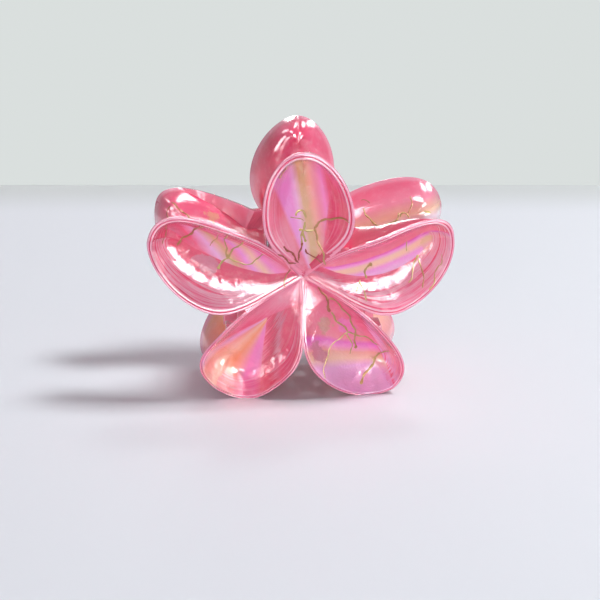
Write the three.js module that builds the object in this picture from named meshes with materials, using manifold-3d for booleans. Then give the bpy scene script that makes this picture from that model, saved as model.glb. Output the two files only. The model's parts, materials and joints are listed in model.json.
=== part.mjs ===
// Flower hair clip: two flower-shaped jaws, back to back on a hinge pin, held shut by a torsion spring.
// Millimetres. +X runs along the hinge pin, +Z is up, and the front flower faces -Y. The clip stands on the
// tips of its four lower petals, with the origin on the ground below the middle of the pin. The top petals
// are the levers: squeezed together, they open the toothed lower half.
import * as THREE from "three";
import { mergeVertices } from "three/addons/utils/BufferGeometryUtils.js";
import Module from "manifold-3d";

// Where a flower sits: its middle, and how far its top leans out from the hinge.
const hubForward = 11.4;
const hubHeight = 32.8;
const flowerLean = THREE.MathUtils.degToRad(9.8);

// Petals, clockwise from the top as seen from in front. The direction is in degrees from straight up. The
// half widths are on the clockwise and the anticlockwise side of the midrib. The sweep moves the tip
// sideways, clockwise when positive. The fullness is given for the same two sides, and runs from 0 for a
// pointed tip to 1 for a square one.
const petals = [
  { direction: 1.5, length: 38, halfWidths: [12.3, 11.4], sweep: -2, fullness: [0.42, 0.42] },
  { direction: 75.5, length: 41, halfWidths: [13.9, 8.5], sweep: -4.8, fullness: [0.64, 0.64] },
  { direction: 146, length: 38.8, halfWidths: [11.9, 9.7], sweep: -2.8, fullness: [0.66, 0.66] },
  { direction: 219.5, length: 37.4, halfWidths: [9.7, 12.6], sweep: 0.4, fullness: [0.94, 0.94] },
  { direction: 285.3, length: 43, halfWidths: [11.4, 12.8], sweep: 2.7, fullness: [0.72, 0.4] },
];
const rootOverlap = 2; // degrees that neighbouring petals run into each other
const rootReach = 0.24; // share of the length over which neighbours stay together

// The bowl of a petal: how its floor rises and then droops towards the tip, how high its wall stands, and
// how much of that wall is a straight slope from the midrib, which leaves a crease there that fades out
// towards the tip.
const floorRise = 0.135;
const floorDroop = 0.007;
const wallHeight = 10.2;
const tipWallExtra = 1.9;
const wallFullAt = 0.62;
const creaseShare = 0.35;
const shellThickness = 2.1;
const spineShortfall = 0.25; // the midrib ends this share of the length before the tip

// Hinge.
const hingeHeight = 40;
const pinRadius = 1.2;
const pinHeadRadius = 2.1;
const pinHeadThickness = 0.9;
const earThickness = 2;
const earRadius = 3.8;
const earHoleRadius = 1.35;
const outerEarX = 7;
const innerEarX = -4.7;
const padThickness = 4;
const padRear = -6;
const padFront = -16;
const padHalfHeight = 6.4;
const clearance = 0.3;

// Claw: a bar behind the two lower petals, with teeth that pass between those of the other jaw.
const barHalfLength = 20.6;
const barTop = 20;
const barBottom = 14.2;
const barRear = -5.6;
const barFront = -15;
const toothPitch = 7;
const toothOffset = 1.75;
const toothThickness = 2.4;
const toothTipY = 4.6;
const toothTipZ = 9.8;

// Torsion spring.
const wireRadius = 0.45;
const coilRadius = 3;
const coilHalfLength = 2.9;
const coilTurns = 5;
const legAngle = THREE.MathUtils.degToRad(52);
const legLength = 19.6;

// How finely the curved surfaces are divided.
const petalStations = 11;
const petalAcross = [1, 0.86, 0.64, 0.34, 0];
const rimDivisions = 3;
const arcSegments = 20;
const wireSides = 6;
const springSteps = 104;
const simplifyTolerance = 0.02;

const wasm = await Module();
wasm.setup();

function solidFrom(geometry) {
  geometry.deleteAttribute("normal");
  geometry.deleteAttribute("uv");
  const merged = mergeVertices(geometry, 1e-4);
  const corners = merged.index.array;
  const kept = [];
  for (let i = 0; i < corners.length; i += 3) {
    const [a, b, c] = [corners[i], corners[i + 1], corners[i + 2]];
    if (a !== b && b !== c && c !== a) kept.push(a, b, c);
  }
  const vertProperties = new Float32Array(merged.attributes.position.array);
  const triVerts = new Uint32Array(kept);
  return new wasm.Manifold(new wasm.Mesh({ numProp: 3, vertProperties, triVerts }));
}

function geometryFrom(solid) {
  const mesh = solid.getMesh();
  const geometry = new THREE.BufferGeometry();
  geometry.setAttribute("position", new THREE.BufferAttribute(mesh.vertProperties, 3));
  geometry.setIndex(new THREE.BufferAttribute(mesh.triVerts, 1));
  return geometry;
}

// A closed skin over a row of loops that all have the same number of points. The first and the last loop
// are folded flat, so that they need no cap.
function skin(loops) {
  const count = loops[0].length;
  const index = [];
  for (let i = 0; i + 1 < loops.length; i++) {
    for (let j = 0; j < count; j++) {
      const here = i * count + j;
      const beside = i * count + ((j + 1) % count);
      index.push(here, here + count, beside);
      index.push(beside, here + count, beside + count);
    }
  }
  const geometry = new THREE.BufferGeometry().setFromPoints(loops.flat());
  geometry.setIndex(index);
  return geometry;
}

// A flat outline in the YZ plane, extruded along X and centred on middleX.
function extrudedAlongX(shape, thickness, middleX) {
  const geometry = new THREE.ExtrudeGeometry(shape, {
    depth: thickness,
    bevelEnabled: false,
    curveSegments: arcSegments / 2,
  });
  const alongX = new THREE.Matrix4().makeBasis(
    new THREE.Vector3(0, 1, 0),
    new THREE.Vector3(0, 0, 1),
    new THREE.Vector3(1, 0, 0),
  );
  geometry.applyMatrix4(alongX);
  geometry.translate(middleX - thickness / 2, 0, 0);
  return geometry;
}

// The angle from a petal's midrib to the edge that it shares with its neighbour on that side.
function rootAngle(petalNumber, side) {
  const neighbour = petals[(petalNumber + side + petals.length) % petals.length];
  const turn = Math.abs(neighbour.direction - petals[petalNumber].direction);
  return THREE.MathUtils.degToRad(Math.min(turn, 360 - turn) / 2 + rootOverlap);
}

// A point on one side of a petal's outline, as [along, across], with t from 0 at the root to 1 at the tip.
function outlinePoint(petalNumber, side, inset, t) {
  const petal = petals[petalNumber];
  const angle = rootAngle(petalNumber, side);
  const start = inset / Math.sin(Math.PI / petals.length);
  const length = petal.length - inset;
  const sideNumber = side > 0 ? 0 : 1;
  const width = petal.halfWidths[sideNumber] - inset;
  const run = length - start;
  const widest = new THREE.Vector2(start + 0.56 * run, width);
  const lower = new THREE.CubicBezierCurve(
    new THREE.Vector2(start, 0),
    new THREE.Vector2(start + rootReach * run, rootReach * run * Math.tan(angle)),
    new THREE.Vector2(start + 0.36 * run, width),
    widest,
  );
  const upper = new THREE.CubicBezierCurve(
    widest,
    new THREE.Vector2(start + 0.82 * run, width),
    new THREE.Vector2(length, petal.fullness[sideNumber] * width),
    new THREE.Vector2(length, 0),
  );
  const join = 0.55;
  const point = t < join ? lower.getPoint(t / join) : upper.getPoint((t - join) / (1 - join));
  return [point.x, point.y];
}

// A point of a petal's skin in its own frame: along the midrib, across it, and forward. The inset is 0 on
// the outer skin and the shell's thickness on the inner one; across runs from 0 at the midrib to 1 at the rim.
function petalPoint(petalNumber, side, inset, t, across) {
  const petal = petals[petalNumber];
  const [rimAlong, rimAcross] = outlinePoint(petalNumber, side, inset, t);
  const spineAlong = rimAlong * (1 - spineShortfall * t ** 3);
  const along = THREE.MathUtils.lerp(spineAlong, rimAlong, across);
  const crease = creaseShare * (1 - t ** 2);
  const profile = crease * across + (1 - crease) * across ** 3;
  const tipShare = Math.max(0, (t - wallFullAt) / (1 - wallFullAt));
  const wallRise = Math.sin((Math.min(1, t / wallFullAt) * Math.PI) / 2);
  const wall = wallHeight * wallRise + tipWallExtra * tipShare ** 2;
  const floor = floorRise * along - floorDroop * along ** 2;
  const lift = inset * (1 - profile) * Math.min(1, t / 0.15);
  const swept = petal.sweep * (along / petal.length) ** 2;
  return new THREE.Vector3(along, side * across * rimAcross + swept, floor + lift + wall * profile);
}

// Turns a petal's own frame into the front flower's place.
function petalPlacement(petalNumber) {
  const angle = THREE.MathUtils.degToRad(petals[petalNumber].direction);
  const up = new THREE.Vector3(0, -Math.sin(flowerLean), Math.cos(flowerLean));
  const right = new THREE.Vector3(1, 0, 0);
  const forward = new THREE.Vector3(0, -Math.cos(flowerLean), -Math.sin(flowerLean));
  const along = right.clone().multiplyScalar(Math.sin(angle)).addScaledVector(up, Math.cos(angle));
  const across = right.clone().multiplyScalar(Math.cos(angle)).addScaledVector(up, -Math.sin(angle));
  const placement = new THREE.Matrix4().makeBasis(along, across, forward);
  return placement.setPosition(0, -hubForward, hubHeight);
}

// One row of points over a skin, from the anticlockwise rim over the midrib to the clockwise rim.
function crossRow(petalNumber, inset, t) {
  const left = petalAcross.map((across) => petalPoint(petalNumber, -1, inset, t, across));
  const right = petalAcross.map((across) => petalPoint(petalNumber, 1, inset, t, across));
  return [...left, ...right.reverse().slice(1)];
}

// The points between two rim points, bulging forward in half a circle.
function rimArc(from, to) {
  const middle = from.clone().lerp(to, 0.5);
  const points = [];
  for (let i = 1; i < rimDivisions; i++) {
    const angle = (Math.PI * i) / rimDivisions;
    const point = middle.clone().addScaledVector(from.clone().sub(middle), Math.cos(angle));
    point.z += (shellThickness / 2) * Math.sin(angle) * Math.min(1, from.distanceTo(to) / shellThickness);
    points.push(point);
  }
  return points;
}

function petalShell(petalNumber) {
  const loops = [];
  for (let i = 0; i <= petalStations; i++) {
    const t = i / petalStations;
    const outer = crossRow(petalNumber, 0, t);
    const inner = crossRow(petalNumber, shellThickness, t).reverse();
    const firstRim = rimArc(outer.at(-1), inner[0]);
    const lastRim = rimArc(outer[0], inner.at(-1)).reverse();
    loops.push([...outer, ...firstRim, ...inner, ...lastRim]);
  }
  return solidFrom(skin(loops).applyMatrix4(petalPlacement(petalNumber)));
}

// The space in front of the middle of a petal's shell, which is kept free of the hinge and the claw.
function petalBowl(petalNumber) {
  const reach = new THREE.Vector3(0, 0, 30);
  const loops = [];
  for (let i = 0; i <= petalStations; i++) {
    const bottom = crossRow(petalNumber, shellThickness / 2, i / petalStations);
    const top = bottom.map((point) => point.clone().add(reach)).reverse();
    loops.push([...bottom, ...top]);
  }
  return solidFrom(skin(loops).applyMatrix4(petalPlacement(petalNumber)));
}

function polygon(points) {
  return new THREE.Shape(points.map(([y, z]) => new THREE.Vector2(y, z)));
}

// A hinge ear with its bore, on an arm that reaches back into its pad.
function hingeEar(middleX) {
  const shape = new THREE.Shape();
  shape.moveTo(padRear - 3, hingeHeight - earRadius);
  shape.lineTo(0, hingeHeight - earRadius);
  shape.absarc(0, hingeHeight, earRadius, -Math.PI / 2, Math.PI / 2);
  shape.lineTo(padRear - 3, hingeHeight + earRadius);
  const bore = new THREE.Path();
  bore.absarc(0, hingeHeight, earHoleRadius, 0, 2 * Math.PI, true);
  shape.holes.push(bore);
  return extrudedAlongX(shape, earThickness, middleX);
}

function hingePad(middleX) {
  const chamfer = 1.4;
  const low = hingeHeight - padHalfHeight;
  const high = hingeHeight + padHalfHeight;
  const shape = polygon([
    [padFront, low],
    [padRear - chamfer, low],
    [padRear, low + chamfer],
    [padRear, high - chamfer],
    [padRear - chamfer, high],
    [padFront, high],
  ]);
  return extrudedAlongX(shape, padThickness, middleX);
}

function clawBar() {
  const chamfer = 1.6;
  const shape = polygon([
    [barFront, barBottom],
    [barRear - chamfer, barBottom],
    [barRear, barBottom + chamfer],
    [barRear, barTop - chamfer],
    [barRear - chamfer, barTop],
    [barFront, barTop],
  ]);
  return extrudedAlongX(shape, 2 * barHalfLength, 0);
}

function clawTooth(middleX) {
  const shape = new THREE.Shape();
  shape.moveTo(barFront, barTop - 1);
  shape.lineTo(barRear - 0.5, barTop - 1);
  shape.quadraticCurveTo(-0.5, 16.5, toothTipY, toothTipZ + 0.6);
  shape.lineTo(toothTipY + 0.2, toothTipZ - 0.3);
  shape.quadraticCurveTo(-3, 10, barFront + 4, barBottom - 0.6);
  shape.lineTo(barFront, barBottom);
  return extrudedAlongX(shape, toothThickness, middleX);
}

// One moulding: five petals, two hinge ears on pads, and the claw.
function flowerJaw() {
  const frame = [
    hingePad(outerEarX),
    hingePad(innerEarX - (padThickness - earThickness) / 2),
    hingeEar(outerEarX),
    hingeEar(innerEarX),
    clawBar(),
  ];
  for (let k = -3; k <= 2; k++) frame.push(clawTooth(toothOffset + k * toothPitch));
  let structure = frame.map(solidFrom).reduce((joined, piece) => joined.add(piece));
  for (let k = 0; k < petals.length; k++) structure = structure.subtract(petalBowl(k));
  let jaw = structure;
  for (let k = 0; k < petals.length; k++) jaw = jaw.add(petalShell(k));
  const standing = jaw.trimByPlane([0, 0, 1], 0);
  return geometryFrom(standing.simplify(simplifyTolerance));
}

function hingePin() {
  const earEnd = outerEarX + earThickness / 2 + clearance;
  const end = earEnd + pinHeadThickness;
  const profile = [
    new THREE.Vector2(0, -end),
    new THREE.Vector2(pinHeadRadius * 0.75, -end),
    new THREE.Vector2(pinHeadRadius, -end + pinHeadThickness / 2),
    new THREE.Vector2(pinHeadRadius, -earEnd),
    new THREE.Vector2(pinRadius, -earEnd),
    new THREE.Vector2(pinRadius, earEnd),
    new THREE.Vector2(pinHeadRadius, earEnd),
    new THREE.Vector2(pinHeadRadius, end - pinHeadThickness / 2),
    new THREE.Vector2(pinHeadRadius * 0.75, end),
    new THREE.Vector2(0, end),
  ];
  return new THREE.LatheGeometry(profile, arcSegments);
}

// The spring's wire about the pin: a leg up behind the front lever, the coil, and a leg behind the back one.
class SpringWire extends THREE.Curve {
  getPoint(t, target = new THREE.Vector3()) {
    const startAngle = 1.5 * Math.PI - legAngle;
    const endAngle = legAngle - Math.PI / 2 + 2 * Math.PI * (coilTurns + 1);
    const coilLength = (endAngle - startAngle) * coilRadius;
    const run = t * (coilLength + 2 * legLength) - legLength;
    const coilRun = THREE.MathUtils.clamp(run, 0, coilLength);
    const angle = startAngle + coilRun / coilRadius;
    const past = run - coilRun;
    const x = THREE.MathUtils.lerp(-coilHalfLength, coilHalfLength, coilRun / coilLength);
    const y = coilRadius * Math.cos(angle) - past * Math.sin(angle);
    const z = coilRadius * Math.sin(angle) + past * Math.cos(angle);
    return target.set(x, y, z);
  }
}

function torsionSpring() {
  const section = new THREE.Shape();
  section.absarc(0, 0, wireRadius, 0, 2 * Math.PI);
  return new THREE.ExtrudeGeometry(section, {
    steps: springSteps,
    curveSegments: wireSides / 2,
    bevelEnabled: false,
    extrudePath: new SpringWire(),
  });
}

const pearlPink = new THREE.MeshStandardMaterial({ color: "#e87a98", roughness: 0.12, metalness: 0 });
const springSteel = new THREE.MeshStandardMaterial({ color: "#b9bcc0", roughness: 0.28, metalness: 1 });

const hairClip = new THREE.Group();
const jawGeometry = flowerJaw();

const frontJaw = new THREE.Mesh(jawGeometry, pearlPink);
frontJaw.name = "front_flower_jaw";

const backJaw = new THREE.Mesh(jawGeometry, pearlPink);
backJaw.name = "back_flower_jaw";
backJaw.rotation.z = Math.PI;

const hinge = new THREE.Group();
hinge.position.z = hingeHeight;

const pin = new THREE.Mesh(hingePin(), springSteel);
pin.name = "hinge_pin";
pin.rotation.z = -Math.PI / 2;

const spring = new THREE.Mesh(torsionSpring(), springSteel);
spring.name = "torsion_spring";

hinge.add(pin, spring);
hairClip.add(frontJaw, backJaw, hinge);

export default hairClip;
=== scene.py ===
"""Looks of a flower hair clip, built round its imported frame.

The clip is two five-petalled flower mouldings back to back on a hinge pin, with a torsion spring. Each
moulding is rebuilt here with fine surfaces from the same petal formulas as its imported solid, and gets pearly
plastic and thin gold veins. Lengths are in millimetres until a mesh is made, and in metres after that.
"""

import math

import bmesh
import bpy
import numpy as np
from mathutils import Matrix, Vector
from mathutils.kdtree import KDTree
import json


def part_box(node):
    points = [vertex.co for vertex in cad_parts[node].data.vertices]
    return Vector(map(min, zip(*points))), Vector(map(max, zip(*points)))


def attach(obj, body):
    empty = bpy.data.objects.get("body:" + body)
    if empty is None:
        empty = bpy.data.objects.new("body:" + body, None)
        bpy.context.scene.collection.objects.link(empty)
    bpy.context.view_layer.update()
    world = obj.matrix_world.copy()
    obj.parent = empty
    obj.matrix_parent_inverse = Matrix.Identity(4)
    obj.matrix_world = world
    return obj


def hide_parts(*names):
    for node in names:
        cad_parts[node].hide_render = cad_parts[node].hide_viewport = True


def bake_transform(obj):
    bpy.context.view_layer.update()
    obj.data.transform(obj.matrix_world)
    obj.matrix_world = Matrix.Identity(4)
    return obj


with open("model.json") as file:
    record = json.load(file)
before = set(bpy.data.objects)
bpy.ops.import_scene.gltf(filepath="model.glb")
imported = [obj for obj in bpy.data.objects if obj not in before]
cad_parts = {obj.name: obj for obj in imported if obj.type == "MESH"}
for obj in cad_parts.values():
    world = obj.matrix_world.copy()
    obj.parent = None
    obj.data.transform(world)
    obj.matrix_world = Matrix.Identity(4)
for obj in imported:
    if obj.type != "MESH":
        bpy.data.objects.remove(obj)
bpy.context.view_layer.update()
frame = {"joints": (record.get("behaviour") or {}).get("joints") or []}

MM = 0.001
WELD_DISTANCE = 1e-7  # in metres

# ---------------------------------------------------------------- sizes, in millimetres

HUB_FORWARD = 11.4
HUB_HEIGHT = 32.8
FLOWER_LEAN = math.radians(9.8)

# Each petal, clockwise from the top: its direction from straight up in degrees, length, sideways sweep of
# the tip, how much the outer skin is thinned behind the tip, rim width as a share of the shell, and place of
# the fold. Then, for its clockwise and its anticlockwise side: half width, fullness of the tip, and strength
# of the wall's terraces.
PETALS = [
    dict(
        direction=1.5, length=38.0, sweep=-2.0, relief=0.7, rim=0.8, fold=0.3,
        halves=(12.3, 11.4), fullness=(0.42, 0.42), terraces=(0.3, 0.8),
    ),
    dict(
        direction=75.5, length=41.0, sweep=-4.8, relief=0.0, rim=0.6, fold=0.3,
        halves=(13.9, 8.5), fullness=(0.64, 0.64), terraces=(1.0, 0.4),
    ),
    dict(
        direction=146.0, length=38.8, sweep=-2.8, relief=0.0, rim=0.5, fold=-0.3,
        halves=(11.9, 9.7), fullness=(0.66, 0.66), terraces=(0.0, 0.0),
    ),
    dict(
        direction=219.5, length=37.4, sweep=0.4, relief=0.0, rim=0.5, fold=-0.25,
        halves=(9.7, 12.6), fullness=(0.94, 0.94), terraces=(0.0, 1.0),
    ),
    dict(
        direction=285.3, length=43.0, sweep=2.7, relief=0.0, rim=0.62, fold=-0.1,
        halves=(11.4, 12.8), fullness=(0.72, 0.4), terraces=(0.3, 1.0),
    ),
]
TOP, UPPER_RIGHT, LOWER_RIGHT, LOWER_LEFT, UPPER_LEFT = range(5)
STRUCTURE = 6  # the material number of the claw and the ears, after the petals and the web
ROOT_OVERLAP = 2.0
ROOT_REACH = 0.24
FLOOR_RISE = 0.135
FLOOR_DROOP = 0.007
WALL_HEIGHT = 10.2
TIP_WALL_EXTRA = 1.9
WALL_FULL_AT = 0.62
CREASE_SHARE = 0.35
CREASE_ROUNDING = 0.1
SHELL = 2.1
SPINE_SHORTFALL = 0.25

# Shares of a petal's length or width at which its outline and its skins change.
SWELLING_AT = 0.36
WIDEST_AT = 0.56
OUTLINE_JOIN = 0.55
SHOULDER_AT = 0.82
SHELL_FULL_AT = 0.15
RELIEF_FROM = 0.45
RELIEF_OVER = 0.3
OUTER_ROUNDING = 0.25
TERRACES_FROM = 0.66
TERRACE_WIDTH = 0.11
TERRACE_DEPTH = 0.09

PIVOT = Vector(frame["joints"][0]["pos_m"]) / MM
EAR_THICKNESS = 2.0
EAR_RADIUS = 3.8
EAR_HOLE_RADIUS = 1.35
OUTER_EAR_X = 7.0
INNER_EAR_X = -4.7
PAD_THICKNESS = 4.0
PAD_REAR = -6.0
PAD_FRONT = -16.0
PAD_HALF_HEIGHT = 6.4
PIN_RADIUS = 1.2
PIN_HEAD_THICKNESS = 0.9

BAR_HALF_LENGTH = 20.6
BAR_TOP = 20.0
BAR_BOTTOM = 14.2
BAR_REAR = -5.6
BAR_FRONT = -15.0
TOOTH_PITCH = 7.0
TOOTH_OFFSET = 1.75
TOOTH_THICKNESS = 2.4
TOOTH_TIP = (4.6, 9.8)

WEB_DEPTH = 12.0
WEB_RISE = 2.5

WIRE_RADIUS = 0.45
COIL_RADIUS = 3.0
COIL_HALF_LENGTH = 2.9
COIL_TURNS = 5
LEG_ANGLE = math.radians(52)
LEG_LENGTH = 19.6

ACROSS_UNIT = 10.0  # one unit across a petal, in the coordinates of its colours and veins
STATIONS = 80
ACROSS_STEPS = 18
ON_PETAL = 0.6  # faces this near a petal's skin take its material


# ---------------------------------------------------------------- petal surface


def bezier(p0, p1, p2, p3, t):
    """Points of a cubic curve, for an array of t."""
    t = t[..., None]
    return (1 - t) ** 3 * p0 + 3 * (1 - t) ** 2 * t * p1 + 3 * (1 - t) * t**2 * p2 + t**3 * p3


def root_angle(number, side):
    """Angle from a petal's midrib to the edge it shares with its neighbour on that side."""
    turn = abs(PETALS[(number + side) % 5]["direction"] - PETALS[number]["direction"])
    return math.radians(min(turn, 360 - turn) / 2 + ROOT_OVERLAP)


def outline(number, side, inset, t):
    """A petal's outline on one side, along and across its midrib, for t from 0 (root) to 1 (tip)."""
    petal = PETALS[number]
    angle = root_angle(number, side)
    start = inset / math.sin(math.pi / 5)
    length = petal["length"] - inset
    side_number = 0 if side > 0 else 1
    width = petal["halves"][side_number] - inset
    run = length - start
    widest = np.array((start + WIDEST_AT * run, width))
    root = np.array((start, 0.0))
    leaving = np.array((start + ROOT_REACH * run, ROOT_REACH * run * math.tan(angle)))
    swelling = np.array((start + SWELLING_AT * run, width))
    shoulder = np.array((start + SHOULDER_AT * run, width))
    blunt = np.array((length, petal["fullness"][side_number] * width))
    tip = np.array((length, 0.0))
    lower = bezier(root, leaving, swelling, widest, np.clip(t / OUTLINE_JOIN, 0, 1))
    upper = bezier(widest, shoulder, blunt, tip, np.clip((t - OUTLINE_JOIN) / (1 - OUTLINE_JOIN), 0, 1))
    return np.where((t < OUTLINE_JOIN)[..., None], lower, upper)


def petal_points(number, signed_across, inset, t):
    """Points of a petal's skin in its own frame: along, across, forward. inset is 0 on the outer skin."""
    t = np.asarray(t, float)
    signed_across = np.asarray(signed_across, float)
    t, signed_across = np.broadcast_arrays(t, signed_across)
    across = np.abs(signed_across)
    petal = PETALS[number]
    right = outline(number, 1, inset * petal["rim"], t)
    left = outline(number, -1, inset * petal["rim"], t)
    rim = np.where((signed_across >= 0)[..., None], right, left)
    spine_along = rim[..., 0] * (1 - SPINE_SHORTFALL * t**3)
    along = spine_along + across * (rim[..., 0] - spine_along)
    crease = CREASE_SHARE * (1 - t**2)
    fold = petal["fold"] * np.sin(math.pi * np.clip(t, 0, 1)) ** 0.5
    past_fold = signed_across - fold
    beyond = np.where(past_fold >= 0, past_fold / (1 - fold), -past_fold / (1 + fold))
    rounding = CREASE_ROUNDING + OUTER_ROUNDING * (1 - inset / SHELL)
    ridge = (np.sqrt(beyond**2 + rounding**2) - rounding) / (math.sqrt(1 + rounding**2) - rounding)
    profile = crease * ridge + (1 - crease) * beyond**3
    tip_share = np.clip((t - WALL_FULL_AT) / (1 - WALL_FULL_AT), 0, 1)
    wall = WALL_HEIGHT * np.sin(np.clip(t / WALL_FULL_AT, 0, 1) * math.pi / 2)
    wall = wall + TIP_WALL_EXTRA * tip_share**2
    floor = FLOOR_RISE * along - FLOOR_DROOP * along**2
    lift = inset * (1 - profile) * np.clip(t / SHELL_FULL_AT, 0, 1)
    relief = petal["relief"] * (1 - inset / SHELL) * np.clip((t - RELIEF_FROM) / RELIEF_OVER, 0, 1)
    lift = lift + relief * (1 - profile)
    steep = np.clip((across - TERRACES_FROM) / 0.08, 0, 1) * np.clip((1 - across) / 0.04, 0, 1)
    terraces = TERRACE_DEPTH * np.cos(2 * math.pi * (across - TERRACES_FROM) / TERRACE_WIDTH) * steep
    terraces *= np.where(signed_across >= 0, *petal["terraces"])
    lift = lift + inset / SHELL * terraces * np.sin(math.pi * t)
    swept = petal["sweep"] * (along / petal["length"]) ** 2
    return np.stack([along, signed_across * rim[..., 1] + swept, floor + lift + wall * profile], -1)


def flower_frame(number):
    """The directions of a petal's own frame in the front flower, as rows."""
    angle = math.radians(PETALS[number]["direction"])
    up = np.array((0, -math.sin(FLOWER_LEAN), math.cos(FLOWER_LEAN)))
    right = np.array((1.0, 0, 0))
    forward = np.array((0, -math.cos(FLOWER_LEAN), -math.sin(FLOWER_LEAN)))
    along = math.sin(angle) * right + math.cos(angle) * up
    across = math.cos(angle) * right - math.sin(angle) * up
    return np.stack([along, across, forward])


def placed(number, points):
    """Petal-frame points, in the front flower's place."""
    return points @ flower_frame(number) + np.array((0, -HUB_FORWARD, HUB_HEIGHT))


def across_row():
    """Signed positions from the anticlockwise rim to the clockwise one, closer together on steep walls."""
    half = np.sin(np.linspace(0, math.pi / 2, ACROSS_STEPS + 1))
    return np.concatenate([-half[::-1], half[1:]])


def rim_section():
    """The rim's section from the outer skin to the inner one: a bead, a groove and a small inner lip."""
    bead = [(0.25 - 0.25 * math.cos(a), 0.75 * math.sin(a)) for a in np.linspace(0.35, math.pi - 0.4, 8)]
    lip = [(0.76 - 0.2 * math.cos(a), 0.3 * math.sin(a)) for a in np.linspace(0.3, math.pi - 0.4, 6)]
    return bead + [(0.52, 0.0), (0.55, -0.12)] + lip


def rim_rows(start, end):
    """Rows of points that cross the rim from one row of rim points to another."""
    width = np.linalg.norm(start - end, axis=-1)
    growth = np.clip(width / SHELL, 0, 1) * np.clip(np.linspace(-0.1, 2.3, len(start)), 0.25, 1)
    rows = []
    for place, height in RIM_SECTION:
        row = start + (end - start) * place
        row[:, 2] += height * growth
        rows.append(row)
    return rows


RIM_SECTION = rim_section()


def petal_shell(number):
    """Vertices of a closed petal shell as a grid of loops, with each vertex's t, signed across and skin."""
    t = np.linspace(0, 1, STATIONS + 1)
    row = across_row()
    outer = petal_points(number, row[None, :], 0.0, t[:, None])
    inner = petal_points(number, row[None, :], SHELL, t[:, None])[:, ::-1]
    first = np.stack(rim_rows(outer[:, -1], inner[:, 0]), 1)
    last = np.stack(rim_rows(outer[:, 0], inner[:, -1])[::-1], 1)
    loops = np.concatenate([outer, first, inner, last], 1)
    turn = np.array([0.1 + 0.8 * place for place, _ in RIM_SECTION])
    rim_values = np.ones(len(turn))
    across = np.concatenate([row, rim_values, row[::-1], -rim_values])
    skin = np.concatenate([np.zeros(len(row)), turn, np.ones(len(row)), turn[::-1]])
    rows = len(t)
    data = np.stack(
        [
            loops[..., 0] / PETALS[number]["length"],
            loops[..., 1] / ACROSS_UNIT,
            np.tile(across, (rows, 1)),
            np.tile(skin, (rows, 1)),
        ],
        -1,
    )
    return placed(number, loops), data


def petal_bowl(number):
    """A closed body that fills a petal's bowl from the middle of its shell forward."""
    t = np.linspace(0, 1, STATIONS + 1)
    row = across_row()
    bottom = petal_points(number, row[None, :], SHELL / 2, t[:, None])
    top = bottom[:, ::-1] + np.array((0, 0, 30.0))
    return placed(number, np.concatenate([bottom, top], 1))


# ---------------------------------------------------------------- meshes


def linked(name, data):
    """An object in the scene."""
    made = bpy.data.objects.new(name, data)
    bpy.context.scene.collection.objects.link(made)
    return made


def mesh_object(name, vertices, faces):
    """A mesh object from points in millimetres."""
    mesh = bpy.data.meshes.new(name)
    mesh.from_pydata((np.asarray(vertices) * MM).tolist(), [], faces)
    mesh.update()
    return linked(name, mesh)


def grid_faces(rows, count):
    """Quads over rows of closed loops."""
    faces = []
    for i in range(rows - 1):
        for j in range(count):
            here, beside = i * count + j, i * count + (j + 1) % count
            faces.append((here, beside, beside + count, here + count))
    return faces


def welded(made):
    """Merges points that coincide, drops the faces that this folds flat, and turns the rest outward."""
    work = bmesh.new()
    work.from_mesh(made.data)
    bmesh.ops.remove_doubles(work, verts=work.verts, dist=WELD_DISTANCE)
    bmesh.ops.dissolve_degenerate(work, edges=work.edges, dist=WELD_DISTANCE)
    bmesh.ops.recalc_face_normals(work, faces=work.faces)
    work.to_mesh(made.data)
    work.free()
    return made


def skin_object(name, loops):
    rows, count = loops.shape[:2]
    return welded(mesh_object(name, loops.reshape(-1, 3), grid_faces(rows, count)))


def prism_along_x(name, outline_yz, thickness, middle_x):
    """A flat outline in the YZ plane, extruded along X."""
    ends = (middle_x - thickness / 2, middle_x + thickness / 2)
    vertices = [(x, y, z) for x in ends for y, z in outline_yz]
    count = len(outline_yz)
    caps = [tuple(range(count))[::-1], tuple(range(count, 2 * count))]
    return welded(mesh_object(name, vertices, caps + grid_faces(2, count)))


def arc_points(centre, radius, start, end, steps):
    angles = np.linspace(start, end, steps)
    return [(centre[0] + radius * math.cos(a), centre[1] + radius * math.sin(a)) for a in angles]


def quadratic(p0, p1, p2, steps):
    t = np.linspace(0, 1, steps)[1:, None]
    p0, p1, p2 = (np.array(p, float) for p in (p0, p1, p2))
    return [tuple(p) for p in (1 - t) ** 2 * p0 + 2 * (1 - t) * t * p1 + t**2 * p2]


def chamfered(front, rear, low, high, chamfer):
    return [
        (front, low),
        (rear - chamfer, low),
        (rear, low + chamfer),
        (rear, high - chamfer),
        (rear - chamfer, high),
        (front, high),
    ]


def bevelled(made, width):
    """Rounds a body's edges."""
    modifier = made.modifiers.new("round", "BEVEL")
    modifier.width = width * MM
    modifier.segments = 3
    modifier.limit_method = "ANGLE"
    modifier.angle_limit = math.radians(35)
    apply_modifiers(made)
    return made


def apply_modifiers(made):
    graph = bpy.context.evaluated_depsgraph_get()
    mesh = bpy.data.meshes.new_from_object(made.evaluated_get(graph))
    made.modifiers.clear()
    old = made.data
    made.data = mesh
    bpy.data.meshes.remove(old)


def boolean(target, others, operation):
    """Joins or cuts a body with others, which are used up."""
    for other in others:
        modifier = target.modifiers.new("boolean", "BOOLEAN")
        modifier.operation = operation
        modifier.solver = "MANIFOLD"
        modifier.object = other
    apply_modifiers(target)
    for other in others:
        bpy.data.objects.remove(other)
    return target


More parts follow.
